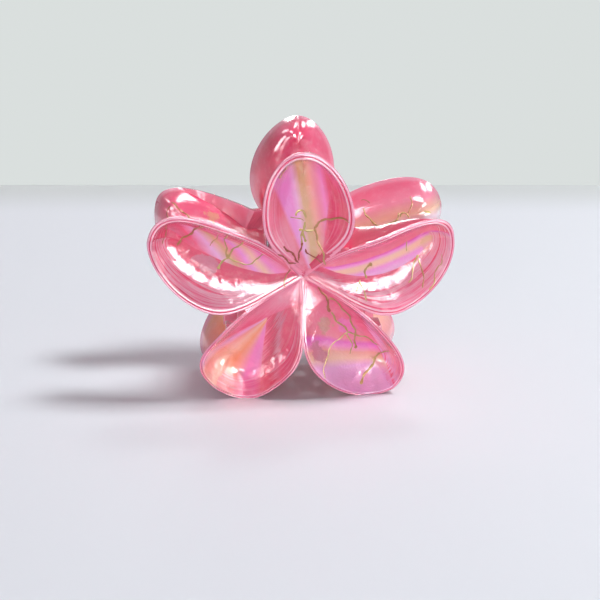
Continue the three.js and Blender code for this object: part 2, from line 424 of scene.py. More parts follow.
def hinge_ear(middle_x):
    in_pad = PAD_REAR - 3  # the ear's root, well inside its pad
    points = [(in_pad, PIVOT.z - EAR_RADIUS)]
    points += arc_points((0.0, PIVOT.z), EAR_RADIUS, -math.pi / 2, math.pi / 2, 25)
    points += [(in_pad, PIVOT.z + EAR_RADIUS)]
    return bevelled(prism_along_x("ear", points, EAR_THICKNESS, middle_x), 0.25)


def hinge_pad(middle_x):
    low, high = PIVOT.z - PAD_HALF_HEIGHT, PIVOT.z + PAD_HALF_HEIGHT
    points = chamfered(PAD_FRONT, PAD_REAR, low, high, 1.4)
    return bevelled(prism_along_x("pad", points, PAD_THICKNESS, middle_x), 0.4)


def claw_bar():
    points = chamfered(BAR_FRONT, BAR_REAR, BAR_BOTTOM, BAR_TOP, 1.6)
    return bevelled(prism_along_x("bar", points, 2 * BAR_HALF_LENGTH, 0.0), 0.4)


def claw_tooth(middle_x):
    """A curved tooth under the bar. Its tip reaches past the middle, between the other jaw's teeth."""
    tip_y, tip_z = TOOTH_TIP
    points = [(BAR_FRONT, BAR_TOP - 1), (BAR_REAR - 0.5, BAR_TOP - 1)]
    points += quadratic(points[-1], (-0.5, 16.5), (tip_y, tip_z + 0.6), 14)
    points += quadratic((tip_y + 0.2, tip_z - 0.3), (-3, 10), (BAR_FRONT + 4, BAR_BOTTOM - 0.6), 14)
    points += [(BAR_FRONT, BAR_BOTTOM)]
    return bevelled(prism_along_x("tooth", points, TOOTH_THICKNESS, middle_x), 0.35)


def petal_web():
    """The web that runs from the top petal's bowl out behind the upper right petal's rim."""
    t = np.linspace(0.05, 0.8, 46)
    joined = np.clip((0.36 - t) / 0.08, 0, 1)[:, None]
    joined = joined * joined * (3 - 2 * joined)
    taper = np.clip((0.8 - t) / 0.45, 0, 1)[:, None]
    rim = placed(UPPER_RIGHT, petal_points(UPPER_RIGHT, -1.0, 0.25, t))
    bowl = placed(TOP, petal_points(TOP, 0.66, SHELL * 0.8, t))
    ridge = placed(TOP, petal_points(TOP, 1.0, SHELL / 2, t)) + np.array((0, -1.2, 0))
    behind = rim + taper * np.array((-0.5, WEB_DEPTH, WEB_RISE))
    far = behind + (bowl - behind) * joined
    halfway = (rim + far) / 2 + taper * np.array((0, 0, 1.0))
    middle = halfway + (ridge - halfway) * joined
    rows = []
    for u in np.linspace(0, 1, 12):
        rows.append((1 - u) ** 2 * rim + 2 * (1 - u) * u * middle + u**2 * far)
    for u in np.linspace(0, 1, 10):
        across = -0.97 + (0.67 * (1 - u)) * (0.05 + 0.95 * taper[:, 0])
        rows.append(placed(UPPER_RIGHT, petal_points(UPPER_RIGHT, across, SHELL / 2, t)))
    loops = np.stack(rows, 1)
    count = loops.shape[1]
    faces = grid_faces(len(t), count)
    faces.append(tuple(range(count))[::-1])
    faces.append(tuple(range((len(t) - 1) * count, len(t) * count)))
    return welded(mesh_object("web", loops.reshape(-1, 3), faces)), loops


def bore():
    """A round cutter along X through all the ears."""
    ring = arc_points((0.0, PIVOT.z), EAR_HOLE_RADIUS, 0, 2 * math.pi * 47 / 48, 48)
    return prism_along_x("bore", ring, 40.0, 0.0)


def ground_cutter():
    corners = [(-40, -5), (40, -5), (40, 0), (-40, 0)]
    return prism_along_x("ground", corners, 120.0, 0.0)


def flower_jaw():
    """One moulding, in the front flower's place, with the petal coordinates of every face corner."""
    shells, samples = [], []
    for number in range(5):
        points, data = petal_shell(number)
        shells.append(skin_object("petal", points))
        samples.append((points.reshape(-1, 3) * MM, data.reshape(-1, 4)))
    web, web_points = petal_web()
    web_points = web_points.reshape(-1, 3) * MM
    samples.append((web_points, np.zeros((len(web_points), 4))))
    bar = claw_bar()
    others = [hinge_pad(OUTER_EAR_X), hinge_pad(INNER_EAR_X - (PAD_THICKNESS - EAR_THICKNESS) / 2)]
    others += [hinge_ear(OUTER_EAR_X), hinge_ear(INNER_EAR_X)]
    others += [claw_tooth(TOOTH_OFFSET + step * TOOTH_PITCH) for step in range(-3, 3)]
    jaw = boolean(bar, others, "UNION")
    jaw = boolean(jaw, [bore()], "DIFFERENCE")
    jaw = boolean(jaw, [skin_object("bowl", petal_bowl(number)) for number in range(5)], "DIFFERENCE")
    jaw = boolean(jaw, shells + [web], "UNION")
    jaw = boolean(jaw, [ground_cutter()], "DIFFERENCE")
    jaw.data.materials.clear()
    mark_petals(jaw.data, samples)
    return jaw


def mark_petals(mesh, samples):
    """Gives each face its petal's material number, and each face corner its place on that petal's skin."""
    trees = []
    for points, _ in samples:
        tree = KDTree(len(points))
        for index, point in enumerate(points):
            tree.insert(point, index)
        tree.balance()
        trees.append(tree)
    names = ("petal_along", "petal_across", "petal_wall", "petal_inner")
    vertices = [v.co.copy() for v in mesh.vertices]
    found = [[tree.find(point) for tree in trees] for point in vertices]
    values = np.zeros((len(mesh.loops), 4))
    for face in mesh.polygons:
        misses = [max(found[v][k][2] for v in face.vertices) for k in range(len(trees))]
        best = int(np.argmin(misses))
        if misses[best] > ON_PETAL * MM:
            face.material_index = STRUCTURE
            continue
        face.material_index = best
        for loop in face.loop_indices:
            vertex = mesh.loops[loop].vertex_index
            values[loop] = samples[best][1][found[vertex][best][1]]
    for column, name in enumerate(names):
        attribute = mesh.attributes.new(name, "FLOAT", "CORNER")
        attribute.data.foreach_set("value", values[:, column].astype(np.float32))


def smooth(made, degrees=38):
    made.data.shade_smooth()
    made.data.set_sharp_from_angle(angle=math.radians(degrees))
    return made


def turned_copy(source, name):
    """A copy turned half round about the vertical axis."""
    made = linked(name, source.data.copy())
    for vertex in made.data.vertices:
        vertex.co.x, vertex.co.y = -vertex.co.x, -vertex.co.y
    made.data.update()
    return made


# ---------------------------------------------------------------- materials


def srgb(red, green, blue):
    """A display colour as the linear colour that shaders take."""

    def linear(c):
        return c / 12.92 if c <= 0.04045 else ((c + 0.055) / 1.055) ** 2.4

    return (linear(red), linear(green), linear(blue), 1.0)


class Nodes:
    """Short forms for building a node tree."""

    def __init__(self, tree):
        self.tree = tree
        self.tree.nodes.clear()

    def add(self, kind):
        return self.tree.nodes.new("ShaderNode" + kind)

    def link(self, source, target):
        self.tree.links.new(source, target)

    def put(self, value, target):
        if isinstance(value, bpy.types.NodeSocket):
            self.link(value, target)
        else:
            target.default_value = value

    def attribute(self, name):
        node = self.add("Attribute")
        node.attribute_name = name
        return node.outputs["Fac"]

    def math(self, operation, first, second=0.0, third=0.0):
        node = self.add("Math")
        node.operation = operation
        for value, target in zip((first, second, third), node.inputs):
            self.put(value, target)
        return node.outputs[0]

    def times(self, first, second):
        return self.math("MULTIPLY", first, second)

    def scaled(self, value, factor, added):
        """value * factor + added"""
        return self.math("MULTIPLY_ADD", value, factor, added)

    def minus(self, first, second):
        return self.math("SUBTRACT", first, second)

    def plane(self, along, across, terms):
        """constant + slope_along * along + slope_across * across + bend * along squared"""
        constant, slope_along, slope_across, bend = (tuple(terms) + (0.0,) * 4)[:4]
        value = self.scaled(along, slope_along, constant)
        if slope_across:
            value = self.scaled(across, slope_across, value)
        if bend:
            value = self.scaled(self.times(along, along), bend, value)
        return value

    def fan(self, along, across, centre_along, centre_across):
        """The slope of the line from a centre to each point: how far across it goes for its way along."""
        forward = self.math("MAXIMUM", self.minus(along, centre_along), 0.05)
        return self.math("DIVIDE", self.minus(across, centre_across), forward)

    def between(self, value, low, high):
        """0 up to low and 1 from high, with a smooth rise between them. low may be above high."""
        node = self.add("MapRange")
        node.interpolation_type = "SMOOTHSTEP"
        self.put(value, node.inputs["Value"])
        node.inputs["From Min"].default_value = low
        node.inputs["From Max"].default_value = high
        return node.outputs[0]

    def ramp(self, value, stops):
        node = self.add("ValToRGB")
        elements = node.color_ramp.elements
        while len(elements) < len(stops):
            elements.new(1.0)
        for element, (position, colour) in zip(elements, stops):
            element.position = position
            element.color = srgb(*colour)
        self.link(value, node.inputs[0])
        return node.outputs[0]

    def mix(self, factor, first, second):
        node = self.add("Mix")
        node.data_type = "RGBA"
        for value, target in ((factor, node.inputs[0]), (first, node.inputs[6]), (second, node.inputs[7])):
            self.put(value, target)
        return node.outputs[2]

    def vector(self, x, y, z=0.0):
        node = self.add("CombineXYZ")
        for value, target in zip((x, y, z), node.inputs):
            self.put(value, target)
        return node.outputs[0]

    def noise(self, scale, detail=2.0, roughness=0.5, distortion=0.0, place=None):
        node = self.add("TexNoise")
        node.inputs["Scale"].default_value = scale
        node.inputs["Detail"].default_value = detail
        node.inputs["Roughness"].default_value = roughness
        node.inputs["Distortion"].default_value = distortion
        if place is None:
            place = self.add("TexCoord").outputs["Object"]
        self.link(place, node.inputs["Vector"])
        return node.outputs["Fac"]

    def bump(self, height, distance_mm, normal=None):
        node = self.add("Bump")
        node.inputs["Distance"].default_value = distance_mm * MM
        self.link(height, node.inputs["Height"])
        if normal is not None:
            self.link(normal, node.inputs["Normal"])
        return node.outputs[0]


class Surface(Nodes):
    """A material with one principled shader."""

    def __init__(self, name):
        self.material = bpy.data.materials.new(name)
        self.material.use_nodes = True
        super().__init__(self.material.node_tree)
        self.shader = self.add("BsdfPrincipled")
        self.link(self.shader.outputs[0], self.add("OutputMaterial").inputs["Surface"])

    def set(self, **values):
        for name, value in values.items():
            self.put(value, self.shader.inputs[name.replace("_", " ")])


RIM_PINK = (0.96, 0.62, 0.73)
BASE_PINK = (0.96, 0.55, 0.66)
SALMON = (0.95, 0.48, 0.58)
HOT_PINK = (0.93, 0.36, 0.52)
DEEP_PINK = (0.88, 0.24, 0.41)
RED_PINK = (0.80, 0.16, 0.33)
MAUVE = (0.82, 0.48, 0.58)
LILAC = (0.97, 0.60, 0.88)
PALE_LILAC = (0.96, 0.72, 0.90)
MAGENTA = (0.93, 0.38, 0.76)
PEACH = (0.98, 0.78, 0.67)
ORANGE = (0.97, 0.63, 0.46)
TAN = (0.88, 0.70, 0.52)
WHITE_PINK = (0.98, 0.85, 0.90)
APRICOT = (0.97, 0.66, 0.60)
CANDY = (0.98, 0.54, 0.80)
OLIVE = (0.78, 0.52, 0.45)

# The rim's colours across its section, from the outer skin to the inner one: pinks on the bead, a painted
# shade line of deep pink in the groove, and a painted highlight line of white pink on the inner lip.
RIM_STOPS_WITH_PAINTED_LINES = [
    (0.1, HOT_PINK), (0.16, RIM_PINK), (0.45, RIM_PINK), (0.52, DEEP_PINK),
    (0.6, HOT_PINK), (0.7, RIM_PINK), (0.78, WHITE_PINK), (0.86, RIM_PINK),
]
# Streaks along the steep inner walls, from deep pink to white pink: partly the plastic's own streaks, partly
# painted highlight lines. The paler set, for one lower wall of some petals, is mostly painted highlight lines.
STREAK_AND_HIGHLIGHT_LINE_STOPS = [(0.35, DEEP_PINK), (0.48, HOT_PINK), (0.56, BASE_PINK), (0.66, WHITE_PINK)]
PAINTED_HIGHLIGHT_LINE_STOPS = [
    (0.3, DEEP_PINK), (0.38, HOT_PINK), (0.46, RIM_PINK),
    (0.52, WHITE_PINK), (0.56, RIM_PINK), (0.7, WHITE_PINK),
]


def plastic_finish(nodes, ripples=None, side=1.0):
    """Gloss, clear coat and waviness of moulded pearly plastic, calmer on outer skins, where side is 0."""
    unevenness = nodes.scaled(side, 0.65, 0.35)
    waves = nodes.noise(230, detail=2.0, roughness=0.5, distortion=0.5)
    waves = nodes.times(waves, unevenness)
    normal = nodes.bump(waves, 0.3)
    if ripples is not None:
        normal = nodes.bump(ripples, 0.05, normal)
    patches = nodes.between(nodes.noise(90), 0.35, 0.6)
    crinkles = nodes.times(nodes.noise(520, detail=4.0, roughness=0.65, distortion=0.6), patches)
    normal = nodes.bump(nodes.times(crinkles, unevenness), 0.14, normal)
    clouds = nodes.noise(260, detail=3.0)
    nodes.set(
        Roughness=nodes.scaled(clouds, 0.16, 0.14),
        Normal=normal,
        Coat_Normal=normal,
        IOR=1.5,
        Coat_Weight=1.0,
        Coat_Roughness=0.015,
        Coat_IOR=1.8,
        Subsurface_Weight=0.25,
        Subsurface_Radius=(0.004, 0.002, 0.0025),
        Subsurface_Scale=1.0,
    )


def band_colour(nodes, along, across, warp, bands):
    """Colour bands over a petal: across a slanting direction, or fanned out from a centre."""
    if "fan" in bands:
        place = nodes.fan(along, across, *bands["fan"])
    else:
        place = nodes.plane(along, across, bands["plane"])
    place = nodes.scaled(warp, 0.1, place)
    low, high = bands.get("span", (0.0, 1.0))
    place = nodes.math("DIVIDE", nodes.minus(place, low), high - low)
    return nodes.ramp(place, bands["stops"])


def zone_mask(nodes, along, across, warp, zone):
    """How far each point lies past a zone's edge, and a mask that is 1 there."""
    reach = nodes.minus(across, nodes.plane(along, 0.0, zone["edge"]))
    reach = nodes.scaled(warp, 0.05, nodes.times(reach, zone["side"]))
    softness = zone.get("softness", 0.03)
    return reach, nodes.between(reach, -softness, softness)


def spot_mask(nodes, along, across, warp, spot):
    """A mask that is 1 inside a soft-edged oval with a ragged outline."""
    centre_along, centre_across = spot["centre"]
    size_along, size_across = spot["size"]
    way = nodes.vector(
        nodes.scaled(along, 1 / size_along, -centre_along / size_along),
        nodes.scaled(across, 1 / size_across, -centre_across / size_across),
    )
    length = nodes.add("VectorMath")
    length.operation = "LENGTH"
    nodes.link(way, length.inputs[0])
    edge = nodes.minus(nodes.noise(380, detail=4.0, roughness=0.65), 0.5)
    reach = nodes.scaled(warp, 0.8, length.outputs["Value"])
    reach = nodes.scaled(edge, 2.4, reach)
    return nodes.times(nodes.between(reach, 1.0, 0.6), spot["strength"])


def skin_colour(nodes, skin, along, across, warp, streaks):
    """Colour of one skin of a petal: its bands, then each zone that lies past an edge, then soft spots."""
    colour = band_colour(nodes, along, across, warp, skin["bands"])
    for zone in skin.get("zones", []):
        reach, inside = zone_mask(nodes, along, across, warp, zone)
        streaked = nodes.scaled(streaks, zone.get("streaks", 0.6), reach)
        colour = nodes.mix(inside, colour, nodes.ramp(streaked, zone["stops"]))
    for spot in skin.get("spots", []):
        inside = spot_mask(nodes, along, across, warp, spot)
        colour = nodes.mix(inside, colour, srgb(*spot["colour"]))
    return colour


def petal_material(name, inner, outer, rim_strength):
    """Pearly plastic with iridescent bands that follow a petal's own coordinates."""
    nodes = Surface(name)
    along = nodes.attribute("petal_along")
    across = nodes.attribute("petal_across")
    wall = nodes.attribute("petal_wall")
    side = nodes.attribute("petal_inner")
    warp = nodes.minus(nodes.noise(90, detail=3.0, distortion=0.6), 0.5)
    grooves = nodes.vector(nodes.times(along, 2.0), nodes.times(wall, 22.0), side)
    ripples = nodes.noise(1.0, detail=3.0, roughness=0.6, place=grooves)
    streaks = nodes.minus(ripples, 0.5)
    inner_colour = skin_colour(nodes, inner, along, across, warp, streaks)
    outer_colour = skin_colour(nodes, outer, along, across, warp, streaks)
    edge = nodes.between(nodes.math("ABSOLUTE", wall), 0.86, 0.97)
    outer_colour = nodes.mix(edge, outer_colour, srgb(*BASE_PINK))
    # Streaks on the steep inner walls, partly painted highlight lines; on the wall that a petal names, paler
    # streaks that are mostly painted highlight lines.
    steep = nodes.between(nodes.math("ABSOLUTE", wall), 0.66, 0.8)
    lines = nodes.ramp(ripples, STREAK_AND_HIGHLIGHT_LINE_STOPS)
    if "painted_highlight_wall" in inner:
        pale = nodes.between(nodes.times(wall, inner["painted_highlight_wall"]), 0.45, 0.6)
        steep = nodes.math("MAXIMUM", steep, pale)
        lines = nodes.mix(pale, lines, nodes.ramp(ripples, PAINTED_HIGHLIGHT_LINE_STOPS))
    if "lined_side" in inner:
        lined_side = nodes.between(nodes.times(wall, inner["lined_side"]), -0.1, 0.1)
        steep = nodes.times(steep, lined_side)
    lined = nodes.times(steep, inner["lines"])
    lined = nodes.times(lined, nodes.between(along, 0.1, 0.3))
    inner_colour = nodes.mix(lined, inner_colour, lines)
    colour = nodes.mix(nodes.between(side, 0.4, 0.6), outer_colour, inner_colour)
    # Faint white pink flecks all over the petals: painted glints.
    painted_glint_flecks = nodes.between(nodes.noise(420, detail=4.0, roughness=0.7), 0.45, 0.75)
    colour = nodes.mix(nodes.times(painted_glint_flecks, 0.10), colour, srgb(*WHITE_PINK))
    # Over the rim, its own pinks with a painted shade line in the groove and a painted highlight line on the
    # lip.
    rim = nodes.minus(0.5, nodes.math("ABSOLUTE", nodes.minus(side, 0.5)))
    rim = nodes.times(nodes.between(rim, 0.02, 0.08), nodes.between(along, 0.1, 0.35))
    rim_colour = nodes.ramp(side, RIM_STOPS_WITH_PAINTED_LINES)
    colour = nodes.mix(nodes.times(rim, rim_strength), colour, rim_colour)
    nodes.set(Base_Color=colour)
    plastic_finish(nodes, ripples, side)
    return nodes.material


def plain_plastic(name, darker, lighter):
    """The same plastic with clouds of two pinks."""
    nodes = Surface(name)
    clouds = nodes.noise(120, detail=3.0)
    nodes.set(Base_Color=nodes.ramp(clouds, [(0.3, darker), (0.7, lighter)]))
    plastic_finish(nodes)
    return nodes.material


def plain(*colours):
    """Stops at even steps."""
    steps = len(colours) - 1
    return [(index / steps, colour) for index, colour in enumerate(colours)]


# The looks of each skin, by petal: along runs from 0 at the hub to 1 at the tip, across is in ACROSS_UNIT.
INNER = [
    dict(
        bands=dict(plane=(0.0, 0.75, 1.0), span=(-0.2, 1.2), stops=[
            (0.0, LILAC), (0.18, LILAC), (0.27, PALE_LILAC), (0.38, TAN), (0.46, TAN), (0.57, APRICOT),
            (0.68, BASE_PINK), (0.79, CANDY), (0.89, HOT_PINK), (1.0, DEEP_PINK),
        ]),
        zones=[
            dict(side=-1, edge=(0.25, -1.55), softness=0.06, stops=[(0.0, SALMON), (0.3, BASE_PINK)]),
            dict(side=1, edge=(0.35, 0.35), stops=[(0.0, HOT_PINK), (0.1, DEEP_PINK), (0.4, HOT_PINK)]),
        ],
        lines=0.25,
    ),
    dict(
        bands=dict(plane=(0.32, -0.55, 1.0, 0.75), stops=[
            (0.0, SALMON), (0.04, MAGENTA), (0.11, LILAC), (0.2, PEACH), (0.3, PEACH), (0.42, LILAC),
            (0.6, PALE_LILAC),
        ]),
        zones=[
            dict(side=-1, edge=(-0.34, 0.55, 0.0, -0.75), softness=0.05, stops=[
                (0.0, SALMON), (0.1, SALMON), (0.3, HOT_PINK), (0.6, DEEP_PINK),
            ]),
            dict(side=1, edge=(-0.75, 4.2, 0.0, -3.9), softness=0.02, stops=[
                (0.0, HOT_PINK), (0.08, DEEP_PINK), (0.2, DEEP_PINK), (0.3, MAUVE), (0.5, SALMON),
            ]),
        ],
        spots=[
            dict(centre=(0.86, 0.0), size=(0.1, 0.4), strength=0.6, colour=TAN),
        ],
        painted_highlight_wall=1,
        lines=0.8,
    ),
    dict(
        bands=dict(plane=(0.0, 1.0, 0.3), span=(0.3, 1.1), stops=[
            (0.0, HOT_PINK), (0.28, SALMON), (0.34, MAGENTA), (0.4, CANDY), (0.48, APRICOT),
            (0.57, PEACH), (0.68, PALE_LILAC), (0.88, PALE_LILAC), (1.0, LILAC),
        ]),
        zones=[
            dict(side=-1, edge=(-0.95, 0.6), stops=[(0.0, HOT_PINK), (0.1, PALE_LILAC), (0.3, SALMON)]),
        ],
        spots=[
            dict(centre=(0.46, 0.75), size=(0.09, 0.2), strength=0.9, colour=MAUVE),
            dict(centre=(0.35, 0.22), size=(0.07, 0.22), strength=0.85, colour=OLIVE),
            dict(centre=(0.46, -0.2), size=(0.1, 0.18), strength=0.6, colour=MAGENTA),
        ],
        lined_side=-1,
        lines=0.25,
    ),
    dict(
        bands=dict(fan=(0.36, 0.07), span=(-2.8, 2.2), stops=[
            (0.05, SALMON), (0.16, CANDY), (0.28, CANDY), (0.38, APRICOT), (0.46, ORANGE), (0.6, PEACH),
            (0.72, APRICOT), (0.82, PALE_LILAC), (0.95, SALMON),
        ]),
        zones=[
            dict(side=-1, edge=(1.035, -2.5), softness=0.02, streaks=0.8, stops=[
                (0.0, SALMON), (0.06, HOT_PINK), (0.14, DEEP_PINK), (0.3, RED_PINK), (0.45, MAUVE),
                (0.6, DEEP_PINK),
            ]),
            dict(side=1, edge=(-0.6, 1.9), stops=[(0.0, HOT_PINK), (0.3, BASE_PINK)]),
        ],
        lined_side=-1,
        lines=0.5,
    ),
    dict(
        bands=dict(plane=(0.0, 1.0, -0.3), stops=[
            (0.06, SALMON), (0.15, CANDY), (0.23, PEACH), (0.31, LILAC), (0.37, BASE_PINK), (0.43, TAN),
            (0.52, PALE_LILAC), (0.63, HOT_PINK), (0.78, MAUVE),
        ]),
        zones=[
            dict(side=-1, edge=(0.2, -1.3, 0.0, 1.8), softness=0.02, stops=[
                (0.0, HOT_PINK), (0.06, DEEP_PINK), (0.4, DEEP_PINK), (0.65, HOT_PINK),
            ]),
            dict(side=1, edge=(0.72, 0.1), softness=0.05, stops=[
                (0.0, HOT_PINK), (0.15, DEEP_PINK), (0.4, RED_PINK),
            ]),
        ],
        spots=[
            dict(centre=(0.6, -0.16), size=(0.09, 0.28), strength=0.9, colour=MAUVE),
        ],
        painted_highlight_wall=-1,
        lines=0.8,
    ),
]
OUTER = [
    dict(
        bands=dict(plane=(0.5, 0.0, 0.5), stops=plain(
            HOT_PINK, HOT_PINK, DEEP_PINK, HOT_PINK, DEEP_PINK, SALMON,
        )),
    ),
    dict(
        bands=dict(plane=(0.5, 0.0, 0.5), stops=plain(DEEP_PINK, HOT_PINK, SALMON, HOT_PINK, BASE_PINK)),
        spots=[
            dict(centre=(0.62, -0.5), size=(0.06, 0.2), strength=0.6, colour=TAN),
        ],
    ),
    dict(
        bands=dict(plane=(0.0, 1.0, 0.0), stops=plain(SALMON, ORANGE, ORANGE, SALMON)),
    ),
    dict(
        bands=dict(plane=(0.0, 1.0, 0.0), stops=plain(BASE_PINK, PEACH, PEACH, BASE_PINK)),
    ),
    dict(
        bands=dict(plane=(0.5, 0.0, 0.5), stops=[
            (0.0, DEEP_PINK), (0.3, HOT_PINK), (0.5, WHITE_PINK), (0.62, PEACH), (0.78, BASE_PINK),
            (1.0, HOT_PINK),
        ]),
    ),
]
RIM_STRENGTHS = [0.9, 0.9, 0.35, 0.35, 0.9]
PETAL_NAMES = ["top", "upper_right", "lower_right", "lower_left", "upper_left"]


def steel_material(name, colour, roughness):
    """Drawn or polished steel, with fine lines."""
    nodes = Surface(name)
    lines = nodes.noise(900, detail=4.0)
    nodes.set(
        Base_Color=nodes.ramp(lines, [(0.3, tuple(c * 0.8 for c in colour)), (0.7, colour)]),
        Metallic=1.0,
        Roughness=nodes.scaled(lines, 0.15, roughness),
        Normal=nodes.bump(lines, 0.004),
    )
    return nodes.material


def stage_material(name, near, far, edge_start, edge_end):
    """A pale surface that turns into the colour behind it towards its far edge."""
    nodes = Surface(name)
    place = nodes.add("TexCoord").outputs["Object"]
    split = nodes.add("SeparateXYZ")
    nodes.link(place, split.inputs[0])
    fade = nodes.between(split.outputs["Y"], edge_start, edge_end)
    mottle = nodes.noise(9, detail=2.0)
    near_colour = nodes.mix(nodes.times(mottle, 0.06), srgb(*near), srgb(*far))
    nodes.set(Base_Color=nodes.mix(fade, near_colour, srgb(*far)), Roughness=0.6, Specular_IOR_Level=0.1)
    return nodes.material


# ---------------------------------------------------------------- pin and spring


def lathe_along_x(name, profile, sides=40):
    """A body of revolution about the hinge axis, from (x, radius) points that start and end on the axis."""
    x, radius = np.array(profile).T[:, :, None]
    angle = 2 * math.pi * np.arange(sides) / sides
    y, z = radius * np.cos(angle), radius * np.sin(angle)
    return skin_object(name, np.stack([x + 0 * y, y, z + PIVOT.z], -1))


def hinge_pin():
    low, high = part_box("hinge_pin")
    end = high[0] / MM
    head_radius = (high[2] - low[2]) / 2 / MM
    neck = end - PIN_HEAD_THICKNESS
    half = [(end, 0.0), (end, head_radius * 0.45), (end - 0.12, head_radius * 0.75)]
    half += [(end - 0.35, head_radius * 0.93), (end - 0.55, head_radius), (neck + 0.12, head_radius)]
    half += [(neck, head_radius - 0.12), (neck, PIN_RADIUS)]
    profile = [(-x, r) for x, r in half] + half[::-1]
    return lathe_along_x("steel_hinge_pin", profile)


def tube(points, radii, sides, squash=1.0, normals=None):
    """Vertices and faces of a closed tube along points, with a radius at each, flattened by squash."""
    points = np.asarray(points, float)
    tangents = np.gradient(points, axis=0)
    tangents /= np.linalg.norm(tangents, axis=1)[:, None]
    vertices = []
    if normals is None:
        normal = np.cross(tangents[0], (1.0, 0.3, 0.2))
        normals = []
        for tangent in tangents:
            normal = normal - tangent * (normal @ tangent)
            normal /= np.linalg.norm(normal)
            normals.append(normal.copy())
    normals = np.asarray(normals)
    normals = normals - tangents * (normals * tangents).sum(1)[:, None]
    normals /= np.linalg.norm(normals, axis=1)[:, None]
    beside = np.cross(tangents, normals)
    for point, normal, other, radius in zip(points, normals, beside, radii):
        for side in range(sides):
            angle = 2 * math.pi * side / sides
            vertices.append(point + radius * (math.cos(angle) * other + squash * math.sin(angle) * normal))
    faces = grid_faces(len(points), sides)
    faces.append(tuple(range(sides))[::-1])
    last = (len(points) - 1) * sides
    faces.append(tuple(range(last, last + sides)))
    return vertices, faces


def spring_path():
    start = 1.5 * math.pi - LEG_ANGLE
    end = LEG_ANGLE - math.pi / 2 + 2 * math.pi * (COIL_TURNS + 1)
    coil = (end - start) * COIL_RADIUS
    runs = np.concatenate([
        np.linspace(-LEG_LENGTH, -0.2, 24),
        np.linspace(0, coil, 260),
        np.linspace(coil + 0.2, coil + LEG_LENGTH, 24),
    ])
    held = np.clip(runs, 0, coil)
    angle = start + held / COIL_RADIUS
    past = runs - held
    x = -COIL_HALF_LENGTH + 2 * COIL_HALF_LENGTH * held / coil
    y = COIL_RADIUS * np.cos(angle) - past * np.sin(angle)
    z = COIL_RADIUS * np.sin(angle) + past * np.cos(angle)
    return np.stack([x, y, z + PIVOT.z], -1)


def torsion_spring():
    path = spring_path()
    radii = np.full(len(path), WIRE_RADIUS)
    radii[0] = radii[-1] = WIRE_RADIUS * 0.8
    vertices, faces = tube(path, radii, sides=12)
    return welded(mesh_object("steel_torsion_spring", vertices, faces))


# ---------------------------------------------------------------- veins

EVEN = (1, 1)

